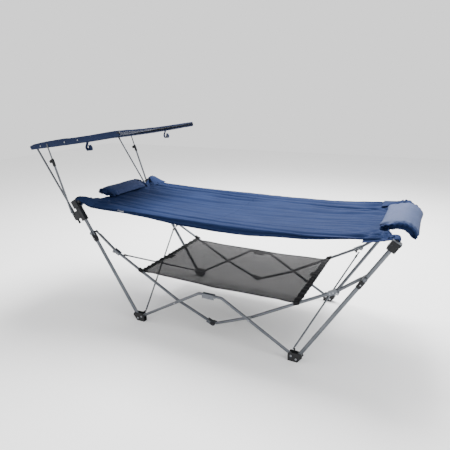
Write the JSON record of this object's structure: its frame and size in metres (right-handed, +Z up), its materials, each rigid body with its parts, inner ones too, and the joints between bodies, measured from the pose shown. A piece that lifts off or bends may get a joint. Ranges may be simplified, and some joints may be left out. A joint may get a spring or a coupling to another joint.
{
  "type": "hammock on stand",
  "caption": "Folding hammock on a steel scissor stand, with a tilting canopy, pads and a mesh storage shelf.",
  "frame": {"origin": "on the floor, under the middle of the whole length and width, canopy and pads included", "axes": "+X from the head end (canopy) to the foot end, +Y across from the near side to the far side, +Z up"},
  "size_m": [2.6874, 0.965, 1.3759],
  "materials": {
    "steel": "cold-drawn steel tube, dull zinc-grey",
    "rivet": "bright flat rivet heads",
    "bracket": "black powder-coated pressed steel",
    "black_plastic": "black nylon moulding, fine grain",
    "bed_fabric": "blue woven polyester",
    "pad_fabric": "blue-grey padded polyester",
    "foot_pad_fabric": "pale blue padded polyester",
    "canopy_fabric": "navy woven polyester",
    "mesh": "grey open mesh",
    "knob": "black thumb knob"
  },
  "bodies": {
    "hub_near": {"lower_hub_near": "black_plastic"},
    "hub_far": {"lower_hub_far": "black_plastic"},
    "lower_foot_near": {"lower_bar_foot_near": "steel", "bar_rivets_foot_near": "rivet"},
    "upper_foot_near": {"upper_bar_foot_near": "steel"},
    "base_foot_near": {"foot_bracket_foot_near": "bracket", "foot_rivets_foot_near": "rivet"},
    "post_foot_near": {"post_foot_near": "steel", "corner_block_foot_near": "black_plastic"},
    "sleeve_foot_near": {"sliding_sleeve_foot_near": "black_plastic"},
    "link_foot_near": {"link_foot_near": "steel"},
    "endbar_foot_near": {"end_bar_foot_near": "steel"},
    "lower_head_near": {"lower_bar_head_near": "steel", "bar_rivets_head_near": "rivet"},
    "upper_head_near": {"upper_bar_head_near": "steel"},
    "base_head_near": {"foot_bracket_head_near": "bracket", "foot_rivets_head_near": "rivet"},
    "post_head_near": {"post_head_near": "steel", "corner_block_head_near": "black_plastic", "rear_strut_head_near": "steel"},
    "sleeve_head_near": {"sliding_sleeve_head_near": "black_plastic"},
    "link_head_near": {"link_head_near": "steel"},
    "endbar_head_near": {"end_bar_head_near": "steel"},
    "lower_foot_far": {"lower_bar_foot_far": "steel", "bar_rivets_foot_far": "rivet"},
    "upper_foot_far": {"upper_bar_foot_far": "steel"},
    "base_foot_far": {"foot_bracket_foot_far": "bracket", "foot_rivets_foot_far": "rivet"},
    "post_foot_far": {"post_foot_far": "steel", "corner_block_foot_far": "black_plastic"},
    "sleeve_foot_far": {"sliding_sleeve_foot_far": "black_plastic"},
    "link_foot_far": {"link_foot_far": "steel"},
    "endbar_foot_far": {"end_bar_foot_far": "steel"},
    "lower_head_far": {"lower_bar_head_far": "steel", "bar_rivets_head_far": "rivet"},
    "upper_head_far": {"upper_bar_head_far": "steel"},
    "base_head_far": {"foot_bracket_head_far": "bracket", "foot_rivets_head_far": "rivet"},
    "post_head_far": {"post_head_far": "steel", "corner_block_head_far": "black_plastic", "rear_strut_head_far": "steel"},
    "sleeve_head_far": {"sliding_sleeve_head_far": "black_plastic"},
    "link_head_far": {"link_head_far": "steel"},
    "endbar_head_far": {"end_bar_head_far": "steel"},
    "bed_foot": {"bed_foot_half": "bed_fabric", "foot_pillow": "foot_pad_fabric"},
    "bed_head": {"bed_head_half": "bed_fabric", "head_pillow": "pad_fabric"},
    "shelf_foot": {"shelf_foot_half": "mesh"},
    "shelf_head": {"shelf_head_half": "mesh"},
    "canopy_near": {"canopy_pole_head_near": "steel", "canopy_cover": "canopy_fabric"},
    "strut_near": {"front_strut_tube_head_near": "steel"},
    "rod_near": {"front_strut_rod_head_near": "steel"},
    "knob_near": {"strut_knob_head_near": "knob"},
    "canopy_far": {"canopy_pole_head_far": "steel"},
    "strut_far": {"front_strut_tube_head_far": "steel"},
    "rod_far": {"front_strut_rod_head_far": "steel"},
    "knob_far": {"strut_knob_head_far": "knob"}
  },
  "joints": [
    {"name": "fold", "type": "hinge", "parent": "hub_near", "child": "lower_foot_near", "pos_m": [0.13, -0.402, 0.103], "axis": [0, -1, 0], "range_deg": [0, 54], "deforming": ["bed_foot_half", "bed_head_half", "shelf_foot_half", "shelf_head_half", "head_pillow", "foot_pillow", "canopy_cover"]},
    {"name": "side_slide", "type": "slide", "parent": "hub_near", "child": "hub_far", "axis": [0, -1, 0], "range_m": [0, 0.5866]},
    {"name": "cross_foot_near", "type": "hinge", "parent": "lower_foot_near", "child": "upper_foot_near", "pos_m": [0.411, -0.43, 0.2075], "axis": [0, -1, 0], "range_deg": [-108.3, 0]},
    {"name": "foot_foot_near_turn", "type": "hinge", "parent": "upper_foot_near", "child": "base_foot_near", "pos_m": [0.705, -0.443, 0.038], "axis": [0, -1, 0], "range_deg": [0, 54.3]},
    {"name": "post_foot_near_turn", "type": "hinge", "parent": "base_foot_near", "child": "post_foot_near", "pos_m": [0.738, -0.443, 0.021], "axis": [0, -1, 0], "range_deg": [0, 30.68]},
    {"name": "sleeve_foot_near_slide", "type": "slide", "parent": "post_foot_near", "child": "sleeve_foot_near", "axis": [0.5178, 0, 0.8555], "range_m": [0, 0.0456]},
    {"name": "knuckle_foot_near", "type": "hinge", "parent": "lower_foot_near", "child": "link_foot_near", "pos_m": [0.953, -0.402, 0.495], "axis": [0, -1, 0], "range_deg": [-187.59, 0]},
    {"name": "endbar_foot_near_turn", "type": "hinge", "parent": "base_foot_near", "child": "endbar_foot_near", "pos_m": [0.705, -0.404, 0.058], "axis": [0.9593, -0.2822, -0.0079], "range_deg": [0, 50.33]},
    {"name": "lower_head_near_turn", "type": "hinge", "parent": "hub_near", "child": "lower_head_near", "pos_m": [0.13, -0.402, 0.103], "axis": [0, 1, 0], "range_deg": [0, 54.3]},
    {"name": "cross_head_near", "type": "hinge", "parent": "lower_head_near", "child": "upper_head_near", "pos_m": [-0.151, -0.43, 0.2075], "axis": [0, 1, 0], "range_deg": [-108.3, 0]},
    {"name": "foot_head_near_turn", "type": "hinge", "parent": "upper_head_near", "child": "base_head_near", "pos_m": [-0.445, -0.443, 0.038], "axis": [0, 1, 0], "range_deg": [0, 54.3]},
    {"name": "post_head_near_turn", "type": "hinge", "parent": "base_head_near", "child": "post_head_near", "pos_m": [-0.478, -0.443, 0.021], "axis": [0, 1, 0], "range_deg": [0, 30.68]},
    {"name": "sleeve_head_near_slide", "type": "slide", "parent": "post_head_near", "child": "sleeve_head_near", "axis": [-0.5178, 0, 0.8555], "range_m": [0, 0.0456]},
    {"name": "knuckle_head_near", "type": "hinge", "parent": "lower_head_near", "child": "link_head_near", "pos_m": [-0.693, -0.402, 0.495], "axis": [0, 1, 0], "range_deg": [-187.59, 0]},
    {"name": "endbar_head_near_turn", "type": "hinge", "parent": "base_head_near", "child": "endbar_head_near", "pos_m": [-0.445, -0.404, 0.058], "axis": [0.9593, 0.2822, 0.0079], "range_deg": [0, 50.33]},
    {"name": "lower_foot_far_turn", "type": "hinge", "parent": "hub_far", "child": "lower_foot_far", "pos_m": [0.13, 0.402, 0.103], "axis": [0, -1, 0], "range_deg": [0, 54.3]},
    {"name": "cross_foot_far", "type": "hinge", "parent": "lower_foot_far", "child": "upper_foot_far", "pos_m": [0.411, 0.43, 0.2075], "axis": [0, -1, 0], "range_deg": [-108.3, 0]},
    {"name": "foot_foot_far_turn", "type": "hinge", "parent": "upper_foot_far", "child": "base_foot_far", "pos_m": [0.705, 0.443, 0.038], "axis": [0, -1, 0], "range_deg": [0, 54.3]},
    {"name": "post_foot_far_turn", "type": "hinge", "parent": "base_foot_far", "child": "post_foot_far", "pos_m": [0.738, 0.443, 0.021], "axis": [0, -1, 0], "range_deg": [0, 30.68]},
    {"name": "sleeve_foot_far_slide", "type": "slide", "parent": "post_foot_far", "child": "sleeve_foot_far", "axis": [0.5178, 0, 0.8555], "range_m": [0, 0.0456]},
    {"name": "knuckle_foot_far", "type": "hinge", "parent": "lower_foot_far", "child": "link_foot_far", "pos_m": [0.953, 0.402, 0.495], "axis": [0, -1, 0], "range_deg": [-187.59, 0]},
    {"name": "endbar_foot_far_turn", "type": "hinge", "parent": "base_foot_far", "child": "endbar_foot_far", "pos_m": [0.687, 0.404, 0.058], "axis": [-0.9593, -0.2822, 0.0079], "range_deg": [0, 50.33]},
    {"name": "lower_head_far_turn", "type": "hinge", "parent": "hub_far", "child": "lower_head_far", "pos_m": [0.13, 0.402, 0.103], "axis": [0, 1, 0], "range_deg": [0, 54.3]},
    {"name": "cross_head_far", "type": "hinge", "parent": "lower_head_far", "child": "upper_head_far", "pos_m": [-0.151, 0.43, 0.2075], "axis": [0, 1, 0], "range_deg": [-108.3, 0]},
    {"name": "foot_head_far_turn", "type": "hinge", "parent": "upper_head_far", "child": "base_head_far", "pos_m": [-0.445, 0.443, 0.038], "axis": [0, 1, 0], "range_deg": [0, 54.3]},
    {"name": "post_head_far_turn", "type": "hinge", "parent": "base_head_far", "child": "post_head_far", "pos_m": [-0.478, 0.443, 0.021], "axis": [0, 1, 0], "range_deg": [0, 30.68]},
    {"name": "sleeve_head_far_slide", "type": "slide", "parent": "post_head_far", "child": "sleeve_head_far", "axis": [-0.5178, 0, 0.8555], "range_m": [0, 0.0456]},
    {"name": "knuckle_head_far", "type": "hinge", "parent": "lower_head_far", "child": "link_head_far", "pos_m": [-0.693, 0.402, 0.495], "axis": [0, 1, 0], "range_deg": [-187.59, 0]},
    {"name": "endbar_head_far_turn", "type": "hinge", "parent": "base_head_far", "child": "endbar_head_far", "pos_m": [-0.427, 0.404, 0.058], "axis": [-0.9593, 0.2822, -0.0079], "range_deg": [0, 50.33]},
    {"name": "bed_foot_drop", "type": "hinge", "parent": "hub_near", "child": "bed_foot", "pos_m": [0.67405, 0, 0.36248], "axis": [0, -1, 0], "range_deg": [0, 79.3]},
    {"name": "shelf_foot_drop", "type": "hinge", "parent": "hub_near", "child": "shelf_foot", "pos_m": [0.25144, 0, 0.26401], "axis": [0, -1, 0], "range_deg": [0, 76.3]},
    {"name": "bed_head_drop", "type": "hinge", "parent": "hub_near", "child": "bed_head", "pos_m": [-0.41405, 0, 0.36248], "axis": [0, 1, 0], "range_deg": [0, 79.3]},
    {"name": "shelf_head_drop", "type": "hinge", "parent": "hub_near", "child": "shelf_head", "pos_m": [0.00856, 0, 0.26401], "axis": [0, 1, 0], "range_deg": [0, 76.3]},
    {"name": "canopy_tilt", "type": "hinge", "parent": "post_head_near", "child": "canopy_near", "pos_m": [-1.30638, -0.461, 1.2451], "axis": [0, 1, 0], "range_deg": [-8, 8]},
    {"name": "strut_near_turn", "type": "hinge", "parent": "post_head_near", "child": "strut_near", "pos_m": [-1.001, -0.464, 0.757], "axis": [0, 1, 0], "range_deg": [-0.65, 0.65]},
    {"name": "rod_near_slide", "type": "slide", "parent": "strut_near", "child": "rod_near", "axis": [-0.3151, 0, 0.9491], "range_m": [-0.0199, 0.0199]},
    {"name": "knob_near_turn", "type": "hinge", "parent": "strut_near", "child": "knob_near", "pos_m": [-1.13905, -0.47, 1.14739], "axis": [-0.9491, 0, -0.3151], "continuous": true},
    {"name": "canopy_tilt_far", "type": "hinge", "parent": "post_head_far", "child": "canopy_far", "pos_m": [-1.30638, 0.461, 1.2451], "axis": [0, 1, 0], "range_deg": [-8, 8]},
    {"name": "strut_far_turn", "type": "hinge", "parent": "post_head_far", "child": "strut_far", "pos_m": [-1.001, 0.464, 0.757], "axis": [0, 1, 0], "range_deg": [-0.65, 0.65]},
    {"name": "rod_far_slide", "type": "slide", "parent": "strut_far", "child": "rod_far", "axis": [-0.3151, 0, 0.9491], "range_m": [-0.0199, 0.0199]},
    {"name": "knob_far_turn", "type": "hinge", "parent": "strut_far", "child": "knob_far", "pos_m": [-1.13905, 0.47, 1.14739], "axis": [-0.9491, 0, -0.3151], "continuous": true}
  ],
  "couplings": [
    {"joint": "side_slide", "follows": "fold", "m_per_rad": 0.6203},
    {"joint": "cross_foot_near", "follows": "fold", "ratio": -2},
    {"joint": "foot_foot_near_turn", "follows": "fold", "ratio": 1},
    {"joint": "post_foot_near_turn", "follows": "fold", "ratio": 0.56266},
    {"joint": "sleeve_foot_near_slide", "follows": "fold", "m_per_rad": 0.046222},
    {"joint": "knuckle_foot_near", "follows": "fold", "ratio": -3.4683},
    {"joint": "endbar_foot_near_turn", "follows": "fold", "ratio": 0.92639},
    {"joint": "lower_head_near_turn", "follows": "fold", "ratio": 1},
    {"joint": "cross_head_near", "follows": "fold", "ratio": -2},
    {"joint": "foot_head_near_turn", "follows": "fold", "ratio": 1},
    {"joint": "post_head_near_turn", "follows": "fold", "ratio": 0.56266},
    {"joint": "sleeve_head_near_slide", "follows": "fold", "m_per_rad": 0.046222},
    {"joint": "knuckle_head_near", "follows": "fold", "ratio": -3.4683},
    {"joint": "endbar_head_near_turn", "follows": "fold", "ratio": 0.92639},
    {"joint": "lower_foot_far_turn", "follows": "fold", "ratio": 1},
    {"joint": "cross_foot_far", "follows": "fold", "ratio": -2},
    {"joint": "foot_foot_far_turn", "follows": "fold", "ratio": 1},
    {"joint": "post_foot_far_turn", "follows": "fold", "ratio": 0.56266},
    {"joint": "sleeve_foot_far_slide", "follows": "fold", "m_per_rad": 0.046222},
    {"joint": "knuckle_foot_far", "follows": "fold", "ratio": -3.4683},
    {"joint": "endbar_foot_far_turn", "follows": "fold", "ratio": 0.92639},
    {"joint": "lower_head_far_turn", "follows": "fold", "ratio": 1},
    {"joint": "cross_head_far", "follows": "fold", "ratio": -2},
    {"joint": "foot_head_far_turn", "follows": "fold", "ratio": 1},
    {"joint": "post_head_far_turn", "follows": "fold", "ratio": 0.56266},
    {"joint": "sleeve_head_far_slide", "follows": "fold", "m_per_rad": 0.046222},
    {"joint": "knuckle_head_far", "follows": "fold", "ratio": -3.4683},
    {"joint": "endbar_head_far_turn", "follows": "fold", "ratio": 0.92639},
    {"joint": "bed_foot_drop", "follows": "fold", "ratio": 1.463},
    {"joint": "shelf_foot_drop", "follows": "fold", "ratio": 1.4074},
    {"joint": "bed_head_drop", "follows": "fold", "ratio": 1.463},
    {"joint": "shelf_head_drop", "follows": "fold", "ratio": 1.4074},
    {"joint": "strut_near_turn", "follows": "canopy_tilt", "ratio": -0.044048},
    {"joint": "rod_near_slide", "follows": "canopy_tilt", "m_per_rad": -0.13551},
    {"joint": "canopy_tilt_far", "follows": "canopy_tilt", "ratio": 1},
    {"joint": "strut_far_turn", "follows": "canopy_tilt", "ratio": -0.044048},
    {"joint": "rod_far_slide", "follows": "canopy_tilt", "m_per_rad": -0.13551}
  ]
}
